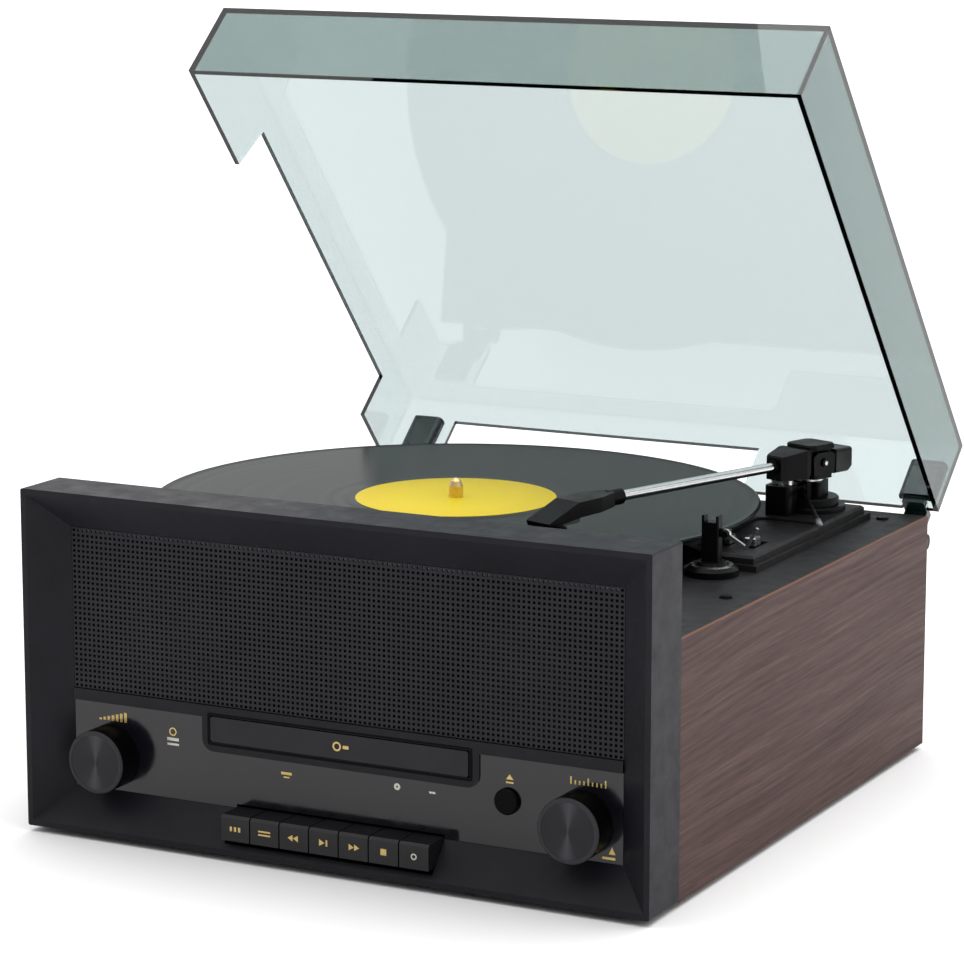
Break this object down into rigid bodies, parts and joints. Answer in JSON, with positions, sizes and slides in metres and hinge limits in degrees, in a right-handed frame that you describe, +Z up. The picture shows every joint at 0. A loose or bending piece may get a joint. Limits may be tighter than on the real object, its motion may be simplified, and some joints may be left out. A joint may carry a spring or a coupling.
{
  "type": "record player",
  "caption": "Wood-sided record player with radio front, disc drawer, piano keys, pivoted tone arm and a hinged clear dust cover, shown open.",
  "frame": {"origin": "centre of the flat underside of the cabinet's bottom panel, midway between front and back faces", "axes": "+Z up, +X the listener's right, -Y the front face, +Y the back with the cover's hinges"},
  "size_m": [0.347, 0.3829, 0.3773],
  "materials": {
    "walnut": "satin walnut grain, horizontal",
    "frame_black": "satin black moulding",
    "board_brown": "unfinished pressed board",
    "deck_black": "fine textured black",
    "mesh_black": "painted perforated metal",
    "panel_grey": "fine textured dark grey",
    "knob_black": "black, satin face",
    "key_black": "satin black",
    "rubber_black": "black rubber",
    "steel": "plated steel",
    "aluminium": "polished aluminium tube",
    "cast_aluminium": "pressed platter",
    "vinyl": "grooved black",
    "label_yellow": "printed paper, stood in by matte plastic",
    "weight_black": "black painted zinc",
    "brass": "turned brass",
    "clear_green": "clear green-smoke acrylic",
    "circuit_green": "circuit board",
    "cone_paper": "dark paper cone, stood in by matte plastic"
  },
  "bodies": {
    "cabinet": {"side_panel_left": "walnut", "side_panel_right": "walnut", "bottom_panel": "board_brown", "feet": "rubber_black", "back_panel": "board_brown", "output_jacks": "deck_black", "power_inlet": "deck_black", "top_deck": "deck_black", "case_screws": "knob_black", "front_frame": "frame_black", "speaker_grille": "mesh_black", "speaker_left": "steel", "speaker_right": "steel", "speaker_cones": "cone_paper", "control_panel": "panel_grey", "potentiometers": "steel", "key_housing": "frame_black", "cd_loader": "frame_black", "main_board": "circuit_green", "power_supply": "steel", "bearing_bush": "brass", "platter_motor": "steel", "drive_belt": "rubber_black", "arm_base_plate": "deck_black", "arm_bearing": "deck_black", "arm_rest": "frame_black", "hinge_bracket_left": "frame_black", "hinge_bracket_right": "frame_black", "hinge_pins": "steel"},
    "cover": {"dust_cover": "clear_green", "hinge_leaf_left": "frame_black", "hinge_leaf_right": "frame_black"},
    "platter": {"platter": "cast_aluminium", "platter_mat": "rubber_black", "record": "vinyl", "record_label": "label_yellow", "spindle": "brass"},
    "pulley": {"motor_pulley": "brass"},
    "arm_swing": {"arm_yoke": "deck_black"},
    "arm_tilt": {"arm_block": "deck_black", "counterweight": "weight_black", "arm_tube": "aluminium", "headshell": "frame_black", "cartridge": "panel_grey"},
    "arm_clip": {"arm_clip": "steel"},
    "lift_bar": {"lift_bar": "frame_black"},
    "cue_lever": {"cue_lever": "frame_black"},
    "speed_switch": {"speed_switch": "steel"},
    "auto_stop_switch": {"auto_stop_switch": "steel"},
    "volume_knob": {"volume_knob": "knob_black"},
    "tuning_knob": {"tuning_knob": "knob_black"},
    "eject_button": {"eject_button": "knob_black"},
    "cd_tray": {"cd_tray": "panel_grey"},
    "key_1": {"key_1": "key_black"},
    "key_2": {"key_2": "key_black"},
    "key_3": {"key_3": "key_black"},
    "key_4": {"key_4": "key_black"},
    "key_5": {"key_5": "key_black"},
    "key_6": {"key_6": "key_black"},
    "key_7": {"key_7": "key_black"}
  },
  "joints": [
    {"name": "cover_hinge", "type": "hinge", "parent": "cabinet", "child": "cover", "pos_m": [0, 0.1735, 0.1042], "axis": [-1, 0, 0], "range_deg": [-49.3, 0]},
    {"name": "platter_spin", "type": "hinge", "parent": "cabinet", "child": "platter", "pos_m": [-0.0335, 0.0235, 0.119], "axis": [0, 0, 1], "continuous": true},
    {"name": "pulley_spin", "type": "hinge", "parent": "cabinet", "child": "pulley", "pos_m": [0.0085, 0.09625, 0.119], "axis": [0, 0, 1], "continuous": true},
    {"name": "arm_swing", "type": "hinge", "parent": "cabinet", "child": "arm_swing", "pos_m": [0.113, 0.1275, 0.14], "axis": [0, 0, 1], "range_deg": [-18, 21.9]},
    {"name": "arm_tilt", "type": "hinge", "parent": "arm_swing", "child": "arm_tilt", "pos_m": [0.113, 0.1275, 0.1503], "axis": [-0.9455, 0.3256, 0], "range_deg": [-1.35, 12]},
    {"name": "arm_clip_hinge", "type": "hinge", "parent": "cabinet", "child": "arm_clip", "pos_m": [0.1272, -0.0105, 0.139], "axis": [0, -1, 0], "range_deg": [0, 120]},
    {"name": "cue_lever_hinge", "type": "hinge", "parent": "cabinet", "child": "cue_lever", "pos_m": [0.1124, 0.1175, 0.1378], "axis": [-0.8396, -0.5432, 0], "range_deg": [0, 27]},
    {"name": "lift_slide", "type": "slide", "parent": "cabinet", "child": "lift_bar", "axis": [0, 0, -1], "range_m": [0, 0.003]},
    {"name": "speed_slide", "type": "slide", "parent": "cabinet", "child": "speed_switch", "axis": [0, 1, 0], "range_m": [0, 0.008]},
    {"name": "auto_stop_slide", "type": "slide", "parent": "cabinet", "child": "auto_stop_switch", "axis": [0, 1, 0], "range_m": [0, 0.008]},
    {"name": "volume_turn", "type": "hinge", "parent": "cabinet", "child": "volume_knob", "pos_m": [-0.1225, -0.16, 0.0353], "axis": [0, 1, 0], "range_deg": [-150, 150]},
    {"name": "tuning_turn", "type": "hinge", "parent": "cabinet", "child": "tuning_knob", "pos_m": [0.1225, -0.16, 0.0353], "axis": [0, 1, 0], "range_deg": [-150, 150]},
    {"name": "eject_push", "type": "slide", "parent": "cabinet", "child": "eject_button", "axis": [0, 1, 0], "range_m": [0, 0.0015], "stiffness_N_per_m": 600},
    {"name": "cd_slide", "type": "slide", "parent": "cabinet", "child": "cd_tray", "axis": [0, -1, 0], "range_m": [0, 0.125]},
    {"name": "key_1_press", "type": "hinge", "parent": "cabinet", "child": "key_1", "pos_m": [-0.0465, -0.1435, 0.016], "axis": [1, 0, 0], "range_deg": [0, 5], "stiffness_Nm_per_rad": 0.3, "springref_deg": -2.86},
    {"name": "key_2_press", "type": "hinge", "parent": "cabinet", "child": "key_2", "pos_m": [-0.031, -0.1435, 0.016], "axis": [1, 0, 0], "range_deg": [0, 5], "stiffness_Nm_per_rad": 0.3, "springref_deg": -2.86},
    {"name": "key_3_press", "type": "hinge", "parent": "cabinet", "child": "key_3", "pos_m": [-0.0155, -0.1435, 0.016], "axis": [1, 0, 0], "range_deg": [0, 5], "stiffness_Nm_per_rad": 0.3, "springref_deg": -2.86},
    {"name": "key_4_press", "type": "hinge", "parent": "cabinet", "child": "key_4", "pos_m": [0, -0.1435, 0.016], "axis": [1, 0, 0], "range_deg": [0, 5], "stiffness_Nm_per_rad": 0.3, "springref_deg": -2.86},
    {"name": "key_5_press", "type": "hinge", "parent": "cabinet", "child": "key_5", "pos_m": [0.0155, -0.1435, 0.016], "axis": [1, 0, 0], "range_deg": [0, 5], "stiffness_Nm_per_rad": 0.3, "springref_deg": -2.86},
    {"name": "key_6_press", "type": "hinge", "parent": "cabinet", "child": "key_6", "pos_m": [0.031, -0.1435, 0.016], "axis": [1, 0, 0], "range_deg": [0, 5], "stiffness_Nm_per_rad": 0.3, "springref_deg": -2.86},
    {"name": "key_7_press", "type": "hinge", "parent": "cabinet", "child": "key_7", "pos_m": [0.0465, -0.1435, 0.016], "axis": [1, 0, 0], "range_deg": [0, 5], "stiffness_Nm_per_rad": 0.3, "springref_deg": -2.86}
  ],
  "couplings": [
    {"joint": "pulley_spin", "follows": "platter_spin", "ratio": 11.6},
    {"joint": "cue_lever_hinge", "follows": "lift_slide", "rad_per_m": 145.44}
  ]
}
